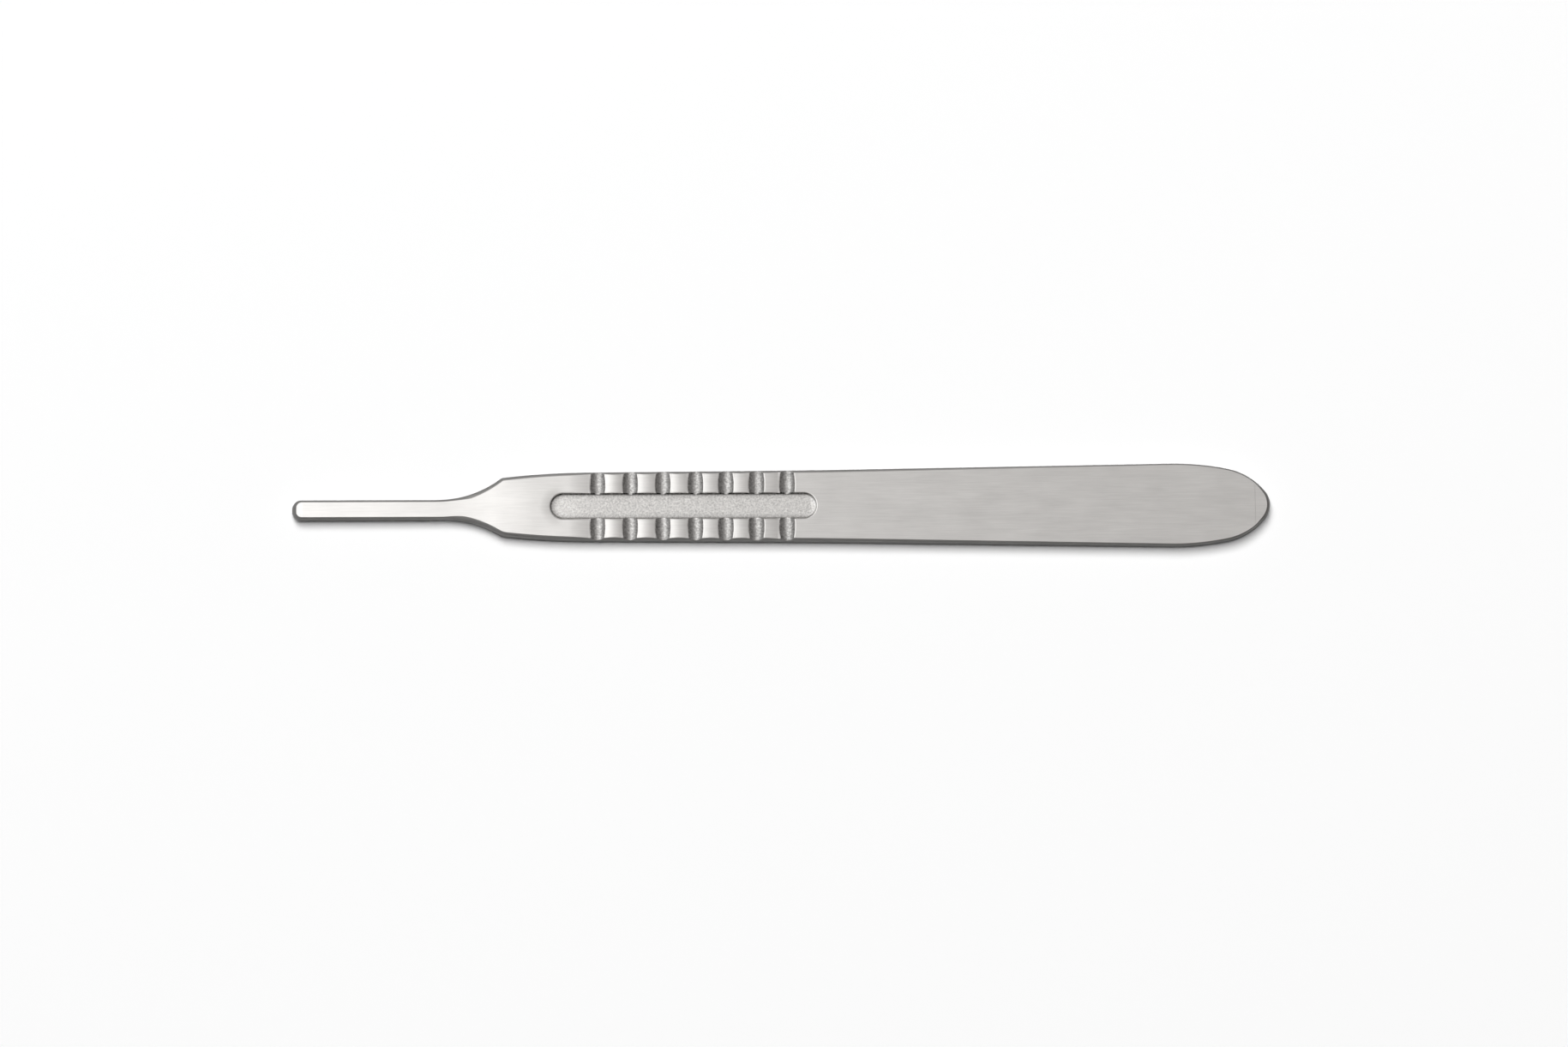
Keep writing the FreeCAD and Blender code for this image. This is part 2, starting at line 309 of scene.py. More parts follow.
def draw_tail(chain, side, grip_rear):
    """The oval tail from its tip, as three arcs that run into one another, to its straight side."""
    rise = (TAIL_ROUND_RADIUS - TAIL_TIP_RADIUS) * math.sin(TAIL_TIP_ANGLE)
    side_radius = TAIL_HALF + rise - TAIL_ROUND_RADIUS * math.sin(TAIL_ROUND_ANGLE)
    side_radius /= 1 - math.sin(TAIL_ROUND_ANGLE)

    def turned(radius, angle):
        return Vector((radius * math.cos(angle), side * radius * math.sin(angle), 0))

    centre = Vector((TAIL - TAIL_TIP_RADIUS, 0, 0))
    chain.arc(centre, centre + turned(TAIL_TIP_RADIUS, TAIL_TIP_ANGLE))
    centre = centre - turned(TAIL_ROUND_RADIUS - TAIL_TIP_RADIUS, TAIL_TIP_ANGLE)
    chain.arc(centre, centre + turned(TAIL_ROUND_RADIUS, TAIL_ROUND_ANGLE))
    centre = centre - turned(side_radius - TAIL_ROUND_RADIUS, TAIL_ROUND_ANGLE)
    away = grip_rear - centre
    last = math.atan2(side * away.y, away.x) - math.acos(side_radius / away.length)
    tail_side = centre + turned(side_radius, last)
    chain.arc(centre, tail_side)
    return tail_side


def draw_front(chain, side, grip_front, along_grip):
    """The grip's narrowing front, the shoulder's corner, the hollow neck and the tongue."""
    shoulder = Vector((SHOULDER, side * SHOULDER_HALF, 0))
    front_centre = tangent_centre(grip_front, along_grip, shoulder)
    front_radius = (shoulder - front_centre).length
    tongue_y = side * TONGUE_HALF - TONGUE_OFFSET
    lift = abs(shoulder.y - tongue_y)
    neck_start = Vector((SHOULDER - math.sqrt(2 * NECK_RADIUS * lift - lift**2), tongue_y, 0))
    neck_centre = neck_start + Vector((0, side * NECK_RADIUS, 0))
    corner = SHOULDER_CORNER[side]
    corner_centre = meeting(
        front_centre, front_radius - corner, neck_centre, NECK_RADIUS + corner, shoulder
    )
    corner_start = front_centre + (corner_centre - front_centre).normalized() * front_radius
    corner_end = neck_centre + (corner_centre - neck_centre).normalized() * NECK_RADIUS
    chain.arc(front_centre, corner_start)
    chain.arc(corner_centre, corner_end, step=0.25)
    chain.arc(neck_centre, neck_start)
    nose_corner = Vector((NOSE + TONGUE_CORNER, tongue_y, 0))
    chain.line(nose_corner, step=1.0)
    nose_centre = nose_corner - Vector((0, side * TONGUE_CORNER, 0))
    chain.arc(nose_centre, nose_centre - Vector((TONGUE_CORNER, 0, 0)), step=0.15)
    chain.line((NOSE, -TONGUE_OFFSET, 0), step=0.15)


def draw_half_outline(bm, side):
    """One side of the plan, from the tail's tip to the middle of the tongue's nose."""
    chain = Chain(bm, (TAIL, 0, 0))
    grip_rear = Vector((GRIP_REAR[0], side * GRIP_REAR[1], 0))
    grip_front = Vector((GRIP_FRONT[0], side * GRIP_FRONT[1], 0))
    tail_side = draw_tail(chain, side, grip_rear)

    into_grip = (grip_rear - tail_side).normalized()
    along_grip = (grip_front - grip_rear).normalized()
    blend_start = grip_rear - into_grip * GRIP_BLEND
    blend_end = grip_rear + along_grip * GRIP_BLEND
    chain.line(blend_start, step=PLAN_STEP)
    chain.arc(tangent_centre(blend_start, into_grip, blend_end), blend_end, step=1.0)
    chain.line(grip_front, step=PLAN_STEP)
    draw_front(chain, side, grip_front, along_grip)


def top_height(x):
    """Height of the upper face along the handle: it falls in an S to the tongue, and at the nose."""
    if x >= SLOPE_END:
        return THICKNESS
    if x > SLOPE_START:
        half = (SLOPE_END - SLOPE_START) / 2
        drop = (THICKNESS - TONGUE_TOP) / 2
        radius = (half**2 + drop**2) / (2 * drop)
        if x < SLOPE_START + half:
            return TONGUE_TOP + radius - math.sqrt(radius**2 - (x - SLOPE_START)**2)
        return THICKNESS - radius + math.sqrt(radius**2 - (SLOPE_END - x)**2)
    into = NOSE + NOSE_FALL_LENGTH - x
    if into > 0:
        return TONGUE_TOP - NOSE_FALL * (into / NOSE_FALL_LENGTH)**2
    return TONGUE_TOP


def rim_radius(x):
    """Rounding of the upper rim at a place along the handle."""
    for (x0, r0), (x1, r1) in zip(RIM_STATIONS, RIM_STATIONS[1:]):
        if x <= x1:
            return r0 + (r1 - r0) * max(0.0, x - x0) / (x1 - x0)
    return RIM_STATIONS[-1][1]


def new_piece(name, bm):
    """A bmesh as an object in the scene."""
    mesh = bpy.data.meshes.new(name)
    bm.to_mesh(mesh)
    bm.free()
    piece = bpy.data.objects.new(name, mesh)
    bpy.context.scene.collection.objects.link(piece)
    return piece


def face_outwards(bm):
    """Turns the faces of closed shells outwards."""
    bmesh.ops.recalc_face_normals(bm, faces=bm.faces[:])
    if bm.calc_volume(signed=True) < 0:
        bmesh.ops.reverse_faces(bm, faces=bm.faces[:])


def finished_mesh(piece):
    """The piece's mesh with its modifiers carried out."""
    bpy.context.view_layer.update()
    graph = bpy.context.evaluated_depsgraph_get()
    mesh = bpy.data.meshes.new_from_object(piece.evaluated_get(graph))
    piece.modifiers.clear()
    piece.data = mesh
    return mesh


def weigh_rims(bm):
    """Gives each edge of the upper and lower outline its share of the largest rounding."""
    weights = bm.edges.layers.float.new("bevel_weight_edge")
    for edge in bm.edges:
        ends = [vert.co for vert in edge.verts]
        if abs(ends[0].z - ends[1].z) > THICKNESS / 2:
            continue
        middle = (ends[0] + ends[1]) / 2
        radius = LOWER_RIM if middle.z < THICKNESS / 2 else rim_radius(middle.x)
        edge[weights] = radius / RIM_LARGEST


def lower_front(mesh):
    """Brings the upper face down along the neck and tongue, once it is cut finely enough."""
    bm = bmesh.new()
    bm.from_mesh(mesh)
    stations = [NOSE + NOSE_FALL_LENGTH * n / NOSE_CUTS for n in range(1, NOSE_CUTS + 1)]
    slope = (SLOPE_END - SLOPE_START) / SLOPE_CUTS
    stations += [SLOPE_START + slope * n for n in range(SLOPE_CUTS + 1)]
    for x in stations:
        bmesh.ops.bisect_plane(
            bm, geom=everything(bm), dist=0.02, plane_co=(x, 0, 0), plane_no=X_AXIS
        )
    for vert in bm.verts:
        if vert.co.z > THICKNESS / 2:
            vert.co.z -= THICKNESS - top_height(vert.co.x)
    bm.to_mesh(mesh)
    bm.free()


def body_blank():
    """The handle before anything is cut in it: plan, rounded rims, and the top's fall in front."""
    bm = bmesh.new()
    draw_half_outline(bm, 1)
    draw_half_outline(bm, -1)
    bmesh.ops.remove_doubles(bm, verts=bm.verts, dist=1e-4)
    bmesh.ops.contextual_create(bm, geom=bm.edges[:])
    made = bmesh.ops.extrude_face_region(bm, geom=bm.faces[:])
    bmesh.ops.translate(bm, verts=verts_in(made["geom"]), vec=(0, 0, THICKNESS))
    face_outwards(bm)
    weigh_rims(bm)
    blank = new_piece("handle_steel", bm)
    rims = blank.modifiers.new("rims", "BEVEL")
    rims.limit_method = "WEIGHT"
    rims.offset_type = "OFFSET"
    rims.width = RIM_LARGEST
    rims.segments = RIM_SEGMENTS
    rims.profile = RIM_PROFILE
    rims.use_clamp_overlap = False
    lower_front(finished_mesh(blank))
    return blank


def both_faces(bm):
    """Doubles a cutter above the handle with its mirror image below."""
    face_outwards(bm)
    below = bmesh.ops.duplicate(bm, geom=everything(bm))
    for vert in verts_in(below["geom"]):
        vert.co.z = THICKNESS - vert.co.z
    faces = [item for item in below["geom"] if isinstance(item, bmesh.types.BMFace)]
    bmesh.ops.reverse_faces(bm, faces=faces)


def draw_pads(bm):
    """The pads' tops seen from the side, closed by a line above the handle."""
    start = GROOVES[0] - GROOVE_HALF - FRONT_FALL_LENGTH
    # A hair above the face, so that the fall leaves it without a step
    fall_z = THICKNESS + PAD_DROP / 10
    crown_z = THICKNESS - PAD_DROP
    chain = Chain(bm, (start, 0, fall_z))
    fall_drop = FRONT_FALL_RADIUS - math.sqrt(FRONT_FALL_RADIUS**2 - FRONT_FALL_LENGTH**2)
    fall_end = (start + FRONT_FALL_LENGTH, 0, fall_z - fall_drop)
    chain.arc((start, 0, fall_z - FRONT_FALL_RADIUS), fall_end, Y_AXIS, step=0.25)
    for left, right in zip(GROOVES, GROOVES[1:-1]):
        reach = (right - left) / 2 - GROOVE_HALF
        sag = PAD_CROWN_RADIUS - math.sqrt(PAD_CROWN_RADIUS**2 - reach**2)
        middle = (left + right) / 2
        crown_end = (middle + reach, 0, crown_z - sag)
        chain.line((middle - reach, 0, crown_z - sag))
        chain.arc((middle, 0, crown_z - PAD_CROWN_RADIUS), crown_end, Y_AXIS, step=0.2)
    last = GROOVES[-2] + GROOVE_HALF
    reach = GROOVES[-1] - GROOVE_HALF - last
    drop = LAST_PAD_RADIUS - math.sqrt(LAST_PAD_RADIUS**2 - reach**2)
    last_end = (last + reach, 0, crown_z - drop)
    chain.line((last, 0, crown_z))
    chain.arc((last, 0, crown_z - LAST_PAD_RADIUS), last_end, Y_AXIS, step=0.2)
    chain.line((GROOVES[-1], 0, THICKNESS + PAD_DROP))
    chain.line((GROOVES[-1], 0, THICKNESS + OVER))
    chain.line((start, 0, THICKNESS + OVER))
    chain.line((start, 0, fall_z))


def pad_cutter():
    """What is ground off above the crowned pads, drawn from the side and run across."""
    reach = TAIL_HALF + OVER
    bm = bmesh.new()
    draw_pads(bm)
    bmesh.ops.remove_doubles(bm, verts=bm.verts, dist=1e-5)
    bmesh.ops.translate(bm, verts=bm.verts, vec=(0, -reach, 0))
    bmesh.ops.contextual_create(bm, geom=bm.edges[:])
    made = bmesh.ops.extrude_face_region(bm, geom=bm.faces[:])
    bmesh.ops.translate(bm, verts=verts_in(made["geom"]), vec=(0, 2 * reach, 0))
    both_faces(bm)
    return new_piece("pad_cutter", bm)


def slot_cutter():
    """The thumb slot: a round tapering punch, steeper at its ends, drawn out along the handle."""
    bm = bmesh.new()
    height = SLOT_DEPTH + OVER
    bmesh.ops.create_cone(
        bm, cap_ends=True, segments=ROUND_SIDES, depth=height,
        radius1=SLOT_HALF - SLOT_DEPTH * SLOT_LEAN, radius2=SLOT_HALF + OVER * SLOT_LEAN,
        matrix=Matrix.Rotation(math.pi / ROUND_SIDES, 4, "Z"),
    )
    for vert in bm.verts:
        level = vert.co.z + height / 2 - SLOT_DEPTH
        vert.co.x *= (SLOT_HALF + level * SLOT_END_LEAN) / (SLOT_HALF + level * SLOT_LEAN)
    rear = [vert for vert in bm.verts if vert.co.x > 0]
    bmesh.ops.translate(bm, verts=rear, vec=(SLOT_LENGTH - 2 * SLOT_HALF, 0, 0))
    place = Vector((SLOT_FRONT + SLOT_HALF, 0, THICKNESS - SLOT_DEPTH + height / 2))
    bmesh.ops.translate(bm, verts=bm.verts, vec=place)
    foot = [edge for edge in bm.edges if all(vert.co.z < THICKNESS for vert in edge.verts)]
    bmesh.ops.bevel(
        bm, geom=foot, offset=SLOT_FOOT, segments=FOOT_SEGMENTS, profile=0.5,
        affect="EDGES", material=-1,
    )
    both_faces(bm)
    return new_piece("slot_cutter", bm)


def groove_cutter():
    """The cross grooves: one barrel, turned about a line across the handle, and its copies."""
    axis_z = THICKNESS - GROOVE_DEPTH + GROOVE_BARREL
    hub = Vector((0, GROOVE_DEEPEST, axis_z - GROOVE_BARREL + GROOVE_LONG_RADIUS))
    inner = SLOT_HALF - SLOT_DEPTH * SLOT_LEAN - GROOVE_RUN_OVER_SLOT
    outer = TAIL_HALF + OVER

    def skin(y):
        rise = math.sqrt(GROOVE_LONG_RADIUS**2 - (y - GROOVE_DEEPEST)**2)
        return Vector((0, y, hub.z - rise))

    bm = bmesh.new()
    chain = Chain(bm, (0, inner, axis_z))
    chain.line(skin(inner))
    chain.arc(hub, skin(outer), X_AXIS, step=0.4)
    chain.line((0, outer, axis_z))
    bmesh.ops.spin(
        bm, geom=everything(bm), cent=(0, 0, axis_z), axis=Y_AXIS,
        angle=2 * math.pi, steps=ROUND_SIDES, use_merge=True,
    )
    bmesh.ops.remove_doubles(bm, verts=bm.verts, dist=1e-5)
    face_outwards(bm)
    barrel = everything(bm)
    for x in GROOVES:
        for turn in (0, math.pi):
            made = bmesh.ops.duplicate(bm, geom=barrel)
            verts = verts_in(made["geom"])
            bmesh.ops.rotate(bm, verts=verts, matrix=Matrix.Rotation(turn, 3, "Z"))
            bmesh.ops.translate(bm, verts=verts, vec=(x, 0, 0))
    bmesh.ops.delete(bm, geom=verts_in(barrel), context="VERTS")
    both_faces(bm)
    return new_piece("groove_cutter", bm)


def box_cutter(name, low, high, slant=0.0):
    """A block, with its rear face slanted along X by that much each side."""
    bm = bmesh.new()
    bmesh.ops.create_cube(bm, size=1)
    low = Vector(low)
    high = Vector(high)
    for vert in bm.verts:
        share = vert.co + Vector((0.5, 0.5, 0.5))
        vert.co = low + Vector([s * d for s, d in zip(share, high - low)])
        if share.x > 0.5:
            vert.co.x += slant * (share.y - 0.5) * 2
    return new_piece(name, bm)


def fitting_cutters():
    """Room under the rail, the blade bed with its slanting shoulder, and the two flank grooves."""
    reach = TAIL_HALF + OVER
    rail_end = NOSE + RAIL_LENGTH
    front = NOSE - OVER
    inner = TONGUE_HALF - BLADE_GROOVE_DEPTH
    outer = TONGUE_HALF + OVER
    groove_low = BED_HEIGHT - BLADE_GROOVE_HEIGHT
    cutters = [
        box_cutter("rail_lift", (front, -reach, -OVER), (rail_end + OVER, reach, RAIL_LIFT)),
        box_cutter(
            "blade_bed", (rail_end, -reach, -OVER), (BED_SHOULDER, reach, BED_HEIGHT),
            reach / math.tan(BED_ANGLE),
        ),
    ]
    for name, ends in (("back_groove", (inner, outer)), ("front_groove", (-outer, -inner))):
        low_y, high_y = (y - TONGUE_OFFSET for y in ends)
        cutters.append(box_cutter(
            name, (front, low_y, groove_low), (rail_end + OVER, high_y, BED_HEIGHT),
        ))
    return cutters


def build_handle():
    """The finished handle as one mesh in metres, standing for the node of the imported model."""
    piece = body_blank()
    cutters = [pad_cutter(), slot_cutter(), groove_cutter()] + fitting_cutters()
    for cutter in cutters:
        cut = piece.modifiers.new(cutter.name, "BOOLEAN")
        cut.operation = "DIFFERENCE"
        cut.solver = "MANIFOLD"
        cut.object = cutter
    mesh = finished_mesh(piece)
    for cutter in cutters:
        bpy.data.objects.remove(cutter)
    bm = bmesh.new()
    bm.from_mesh(mesh)
    bmesh.ops.remove_doubles(bm, verts=bm.verts, dist=2e-4)
    bmesh.ops.dissolve_degenerate(bm, edges=bm.edges, dist=1e-4)
    bmesh.ops.scale(bm, verts=bm.verts, vec=(MM, MM, MM))
    bm.to_mesh(mesh)
    bm.free()
    mesh.polygons.foreach_set("use_smooth", [True] * len(mesh.polygons))
    mesh.set_sharp_from_angle(angle=SHARP_ANGLE)
    mesh.materials.clear()
    mesh.materials.append(satin_steel())
    weighted = piece.modifiers.new("weighted", "WEIGHTED_NORMAL")
    weighted.keep_sharp = True
    weighted.mode = "FACE_AREA"
    weighted.weight = 50
    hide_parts("handle")
    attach(piece, "root")


class Wire:
    """A node socket that takes part in Python sums."""

    def __init__(self, maker, socket):
        self.maker = maker
        self.socket = socket

    def __add__(self, other):
        return self.maker.math("ADD", self, other)

    __radd__ = __add__

    def __mul__(self, other):
        return self.maker.math("MULTIPLY", self, other)

    __rmul__ = __mul__

    def __sub__(self, other):
        return self.maker.math("SUBTRACT", self, other)

    def __rsub__(self, other):
        return self.maker.math("SUBTRACT", other, self)

    def __truediv__(self, other):
        return self.maker.math("DIVIDE", self, other)


class Maker:
    """Fills one node tree, which it empties first."""

    def __init__(self, tree):
        self.tree = tree
        tree.nodes.clear()

    def node(self, kind, settings=None, **sockets):
        """A node with its settings, and a value or a wire for each socket that is named."""
        made = self.tree.nodes.new(kind)
        for name, value in (settings or {}).items():
            setattr(made, name, value)
        for name, value in sockets.items():
            self.put(made.inputs[name.replace("_", " ")], value)
        return made

    def put(self, socket, value):
        if isinstance(value, Wire):
            self.tree.links.new(value.socket, socket)
        else:
            socket.default_value = value

    def wire(self, node, output=0):
        return Wire(self, node.outputs[output])

    def axes(self, coordinates):
        """One kind of texture coordinates as a wire for each axis."""
        place = self.node("ShaderNodeTexCoord")
        split = self.node("ShaderNodeSeparateXYZ", Vector=self.wire(place, coordinates))
        return [self.wire(split, axis) for axis in "XYZ"]

    def math(self, operation, *values, clamp=False):
        made = self.node("ShaderNodeMath", {"operation": operation, "use_clamp": clamp})
        for socket, value in zip(made.inputs, values):
            self.put(socket, value)
        return self.wire(made)

    def share(self, value, width):
        """A value as a share of a width, held between 0 and 1."""
        return self.math("MULTIPLY", value, 1 / width, clamp=True)

    def fade(self, value, span, first, last):
        """A soft change from one number to another while a value crosses a span."""
        made = self.node(
            "ShaderNodeMapRange", {"interpolation_type": "SMOOTHSTEP"},
            Value=value, From_Min=span[0], From_Max=span[1], To_Min=first, To_Max=last,
        )
        return self.wire(made)

    def noise(self, place, per_mm, detail, roughness):
        """Noise about zero, with so many marks per millimetre along each axis."""
        x, y, z = (wire * number for wire, number in zip(place, per_mm))
        point = self.node("ShaderNodeCombineXYZ", X=x, Y=y, Z=z)
        made = self.node(
            "ShaderNodeTexNoise", Vector=self.wire(point), Scale=1.0,
            Detail=detail, Roughness=roughness,
        )
        return self.wire(made) - 0.5


def new_material(name):
    """A node material, and the maker that fills it."""
    material = bpy.data.materials.new(name)
    material.use_nodes = True
    return material, Maker(material.node_tree)


def groove_masks(maker, x, y, depth):
    """How far a point lies in a cross groove, and how near the lip of one, from 0 to 1."""
    nearest = None
    for groove_x in GROOVES:
        away = maker.math("ABSOLUTE", x - groove_x)
        nearest = away if nearest is None else maker.math("MINIMUM", nearest, away)
    across = maker.math("ABSOLUTE", y) - GROOVE_DEEPEST
    radius = GROOVE_BARREL - across * across * (0.5 / GROOVE_LONG_RADIUS)
    rise = depth - GROOVE_DEPTH + GROOVE_BARREL
    reach = maker.math("SQRT", nearest * nearest + rise * rise)
    groove = maker.share(radius - reach + GROOVE_MARGIN, GROOVE_EDGE)
    lip = maker.share(radius - reach + LIP_WIDTH, LIP_WIDTH)
    return groove, lip


class SlotMasks:
    """How far a point lies in the thumb slot, in each part of it and near it, from 0 to 1."""

    def __init__(self, maker, x, y, depth):
        middle = SLOT_FRONT + SLOT_LENGTH / 2
        run = maker.math("ABSOLUTE", x - middle) - (SLOT_LENGTH / 2 - SLOT_HALF)
        run = maker.math("MAXIMUM", run, 0.0)
        off = maker.math("SQRT", run * run + y * y)
        within = maker.share(SLOT_HALF + SLOT_MARGIN - off, SLOT_EDGE)
        self.inside = within * maker.share(depth - WALL_FROM, SLOT_EDGE)
        self.floor = self.inside * maker.share(depth - FLOOR_FROM, FLOOR_EDGE)
        self.near = maker.share(NEAR_FROM - y, NEAR_EDGE)
        self.front = maker.share(SLOT_FRONT + FRONT_REACH - x, FRONT_EDGE)
        self.ends = maker.share(run, SLOT_HALF)
        wall_width = SLOT_DEPTH * (SLOT_LEAN - self.ends * (SLOT_LEAN - SLOT_END_LEAN))
        self.ramp = maker.share(off - SLOT_HALF + wall_width + RAMP_WIDTH, RAMP_WIDTH)
        self.sink = maker.share(SLOT_HALF + SINK_WIDTH - off, SINK_WIDTH)
        self.lip = maker.share(SLOT_HALF + LIP_WIDTH - off, LIP_WIDTH)


def slot_tone_and_painted_light(maker, slot):
    """Brightness in the slot: the floor's own tone, brighter towards its front, with painted light:
    painted shade on the walls, the near wall lighter, and a painted highlight on the rear end wall;
    a painted highlight on the foot at the rear end and painted shade on it at the front end.
    """
    # Painted light on the walls: a painted highlight at the rear end, lighter on the near wall,
    # painted shade elsewhere
    ends = slot.ends * (1 - slot.front) * SLOT_END_PAINTED_HIGHLIGHT
    light = maker.math("MAXIMUM", slot.near * SLOT_NEAR_WALL_PAINTED_LIGHT, ends)
    wall = maker.math("MAXIMUM", light, SLOT_WALL_PAINTED_SHADE)
    # Painted highlight on the foot at the rear end, painted shade on it at the front end
    foot = slot.ends * slot.ramp * (1 - 2 * slot.front)
    floor = SLOT_TONE + slot.front * SLOT_FRONT_TONE + foot * SLOT_FOOT_PAINTED_LIGHT
    return wall + slot.floor * (floor - wall)


def grip_relief(maker, slot, groove_lip):
    """Small heights round the slot and grooves: a floor that climbs, a sunk face, broken lips."""
    lip = maker.math("MAXIMUM", groove_lip, slot.lip)
    sunk = slot.sink * slot.sink * slot.front * SINK_DEPTH
    return slot.ramp * slot.ramp * RAMP_HEIGHT - sunk - lip * lip * LIP_DEPTH


def satin_steel():
    """Stainless steel, brushed lengthwise, with grooves and slot left as blasted, and with painted
    light and shade on the slot's walls and foot.
    """
    material, maker = new_material("satin_steel")
    place = [axis / MM for axis in maker.axes("Object")]
    x, y, z = place
    depth = THICKNESS / 2 - maker.math("ABSOLUTE", z - THICKNESS / 2)
    groove, groove_lip = groove_masks(maker, x, y, depth)
    slot = SlotMasks(maker, x, y, depth)
    blasted = maker.math("MAXIMUM", groove, slot.inside)
    off_floor = 1 - slot.floor

    grain = maker.noise(place, GRAIN_PER_MM, detail=2.0, roughness=0.7)
    brush = maker.noise(place, BRUSH_PER_MM, detail=4.0, roughness=0.65)
    cloud = maker.noise(place, CLOUD_PER_MM, detail=2.0, roughness=0.5)
    polish = brush * BRUSH_TONE + cloud * CLOUD_TONE

    # The slot's tone, with painted shade and painted highlights on its walls and foot
    tone = 1 + slot.inside * (slot_tone_and_painted_light(maker, slot) - 1)
    tone = tone + groove * (GROOVE_TONE - 1) * off_floor
    tone = tone + polish * (1 - blasted) + grain * GRAIN_TONE * blasted
    colour = maker.node(
        "ShaderNodeVectorMath", {"operation": "SCALE"}, Vector=STEEL_COLOUR, Scale=tone
    )
    rough = STEEL_ROUGHNESS + brush * BRUSH_ROUGHNESS
    rough = rough + groove * (GROOVE_ROUGHNESS - STEEL_ROUGHNESS)
    rough = rough + slot.floor * (SLOT_ROUGHNESS - STEEL_ROUGHNESS) * (1 - groove)
    rough = rough + slot.inside * off_floor * slot.ends * (SLOT_END_ROUGHNESS - STEEL_ROUGHNESS)
    height = brush * BRUSH_HEIGHT * (1 - blasted) + grain * blasted
    height = height + grip_relief(maker, slot, groove_lip)
    bump = maker.node("ShaderNodeBump", Strength=1.0, Distance=GRAIN_HEIGHT, Height=height)
    shader = maker.node(
        "ShaderNodeBsdfPrincipled", Metallic=1.0, Roughness=rough,
        Base_Color=maker.wire(colour), Normal=maker.wire(bump),
    )
    maker.node("ShaderNodeOutputMaterial", Surface=maker.wire(shader))
    return material


def white_table():
    """White with the handle's shadow, dimmer in reflections, and clear to a view from below."""
    material, maker = new_material("white_table")
    rays = maker.node("ShaderNodeLightPath")
    seen = maker.wire(rays, "Is Camera Ray")
    level = TABLE_REFLECTED + seen * (TABLE_SEEN - TABLE_REFLECTED)
    glow = seen * TABLE_GLOW
    colour = maker.node("ShaderNodeCombineXYZ", X=level, Y=level, Z=level)
    light = maker.node("ShaderNodeCombineXYZ", X=glow, Y=glow, Z=glow)
    shader = maker.node(
        "ShaderNodeBsdfPrincipled", Roughness=0.9, Specular_IOR_Level=0.0,
        Base_Color=maker.wire(colour), Emission_Color=maker.wire(light), Emission_Strength=1.0,
    )
    geometry = maker.node("ShaderNodeNewGeometry")
    passed = maker.math("MINIMUM", maker.wire(rays, "Transparent Depth"), 1.0)
    clear = maker.math("MAXIMUM", maker.wire(geometry, "Backfacing"), passed)
    mix = maker.node("ShaderNodeMixShader", Fac=clear)
    maker.put(mix.inputs[1], maker.wire(shader))
    maker.put(mix.inputs[2], maker.wire(maker.node("ShaderNodeBsdfTransparent")))
    maker.node("ShaderNodeOutputMaterial", Surface=maker.wire(mix))
    return material


def make_table():
    """The table top, a hair below the handle."""
    bpy.ops.mesh.primitive_plane_add(size=TABLE_SIZE)
    table = bpy.context.object
    table.name = "table_top"
    table.location.z = -TABLE_GAP
    table.data.materials.append(white_table())


def make_camera():
    """A long lens on the photograph's line of sight."""
    data = bpy.data.cameras.new("camera")
    data.sensor_fit = "HORIZONTAL"
    data.sensor_width = SENSOR_WIDTH
    data.lens = SENSOR_WIDTH * VIEW_DISTANCE / VIEW_WIDTH
    data.clip_start = 0.01
    data.clip_end = 20
    camera = bpy.data.objects.new("camera", data)
    bpy.context.scene.collection.objects.link(camera)
    elevation = math.radians(VIEW_ELEVATION)
    away = Vector((0, -math.cos(elevation), math.sin(elevation)))
    turn = away.to_track_quat("Z", "Y").to_matrix().to_4x4()
    place = Matrix.Translation(Vector(VIEW_TARGET) + away * VIEW_DISTANCE)
    camera.matrix_world = place @ turn @ Matrix.Rotation(math.radians(VIEW_ROLL), 4, "Z")
    bpy.context.scene.camera = camera


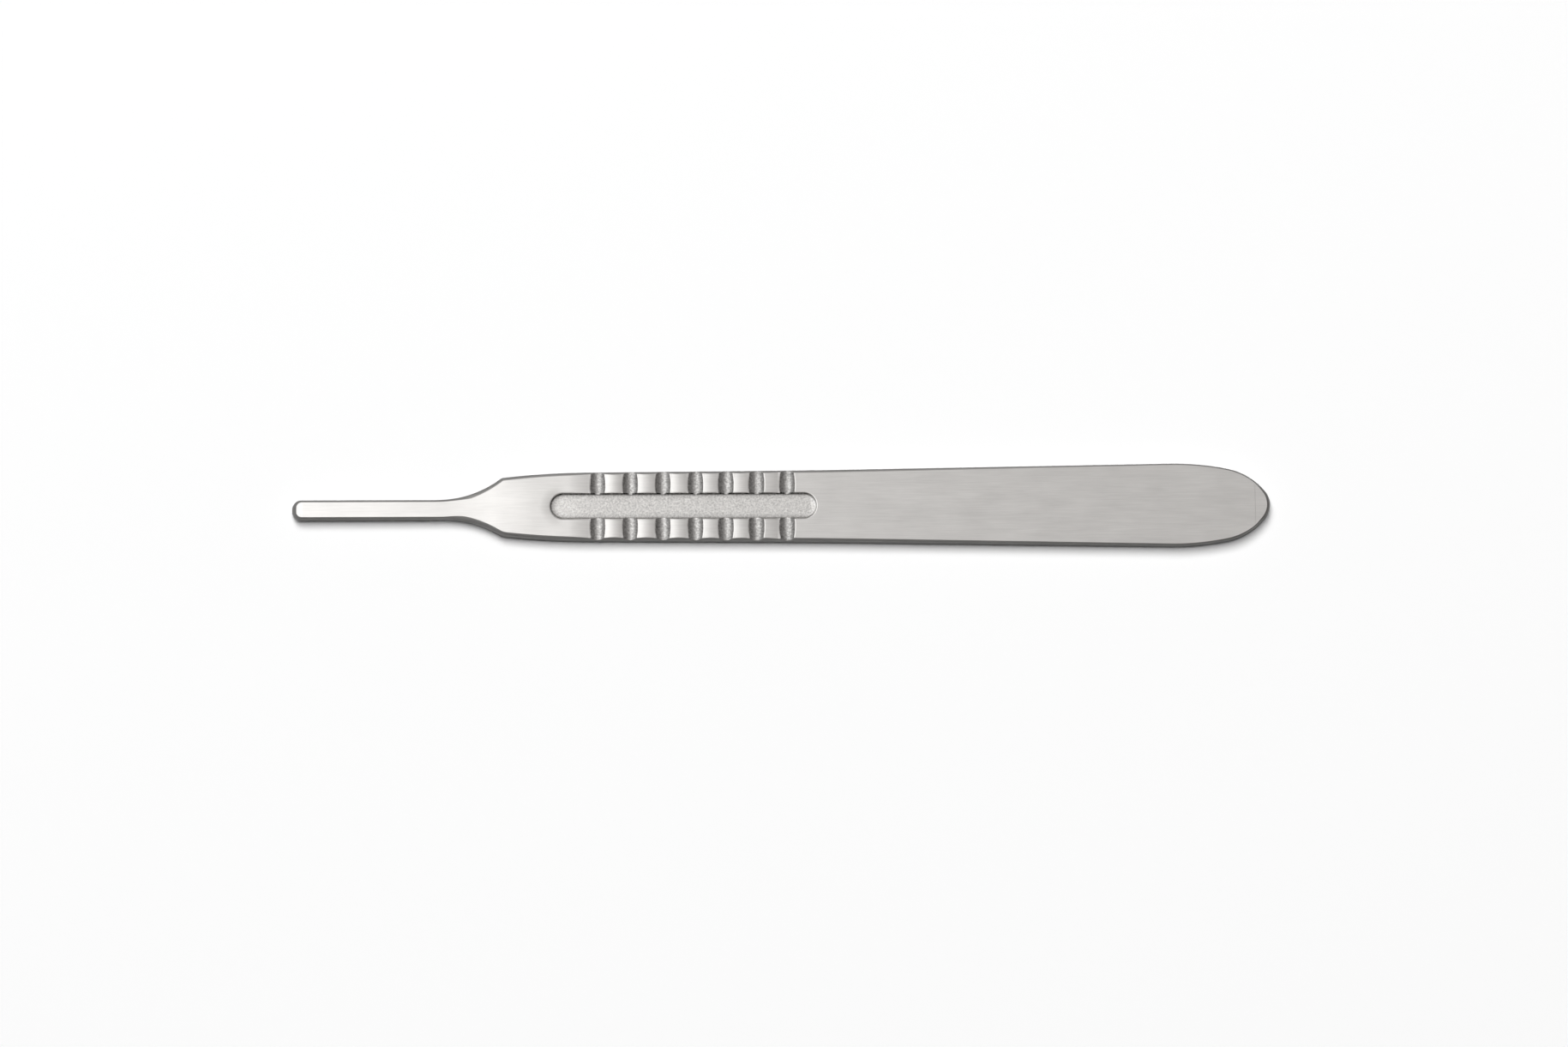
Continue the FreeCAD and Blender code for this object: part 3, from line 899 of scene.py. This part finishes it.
def make_lamp(name, place, target, size, radiance, on_steel=True, on_table=True):
    """A soft box of a width and height, with the brightness that its face has."""
    data = bpy.data.lights.new(name, "AREA")
    data.shape = "RECTANGLE"
    data.size, data.size_y = size
    data.energy = radiance * math.pi * size[0] * size[1]
    lamp = bpy.data.objects.new(name, data)
    bpy.context.scene.collection.objects.link(lamp)
    toward = Vector(target) - Vector(place)
    turn = toward.to_track_quat("-Z", "Y").to_matrix().to_4x4()
    lamp.matrix_world = Matrix.Translation(Vector(place)) @ turn
    lamp.visible_camera = False
    lamp.visible_glossy = on_steel
    lamp.visible_diffuse = on_table


def make_lamps():
    """The box that the steel reflects on the left, and the lamp that throws the table's shadow."""
    make_lamp(
        "left_box", LEFT_BOX_PLACE, LEFT_BOX_TARGET, LEFT_BOX_SIZE, LEFT_BOX_RADIANCE,
        on_table=False,
    )
    make_lamp(
        "table_lamp", TABLE_LAMP_PLACE, TABLE_LAMP_TARGET, TABLE_LAMP_SIZE, TABLE_LAMP_RADIANCE,
        on_steel=False,
    )


def make_world():
    """A studio lit overhead, dimmer low down and past the tail, and white to the camera."""
    world = bpy.data.worlds.new("studio")
    bpy.context.scene.world = world
    world.use_nodes = True
    world.cycles_visibility.diffuse = False
    maker = Maker(world.node_tree)
    seen = maker.wire(maker.node("ShaderNodeLightPath"), "Is Camera Ray")
    along, across, up = maker.axes("Generated")
    height = maker.math("ABSOLUTE", up)

    walls = maker.fade(height, WALL_RISE, STUDIO_LOW, STUDIO_MIDDLE)
    walls = walls * maker.fade(across, FRONT_END, STUDIO_FRONT_END, 1.0)
    ceiling = maker.fade(height, CEILING_RISE, 0.0, STUDIO_HIGH - STUDIO_MIDDLE)
    back = maker.fade(height, BACK_FALL, STUDIO_BACK, 0.0)
    back = back * maker.fade(across, BACK_END, 0.0, 1.0)
    level = (walls + ceiling + back) * maker.fade(along, TAIL_END, 1.0, STUDIO_TAIL_END)
    level = level + seen * (1 - level)
    warm = maker.fade(along, WARM_TURN, 0.0, STUDIO_WARMTH) * (1 - seen)
    tint = maker.node("ShaderNodeCombineXYZ", X=1 + warm * 2, Y=1.0, Z=1 - warm)
    sky = maker.node("ShaderNodeBackground", Strength=level, Color=maker.wire(tint))
    maker.node("ShaderNodeOutputWorld", Surface=maker.wire(sky))


make_camera()
make_table()
make_world()
make_lamps()
build_handle()

scene = bpy.context.scene
scene.view_settings.view_transform = "Standard"
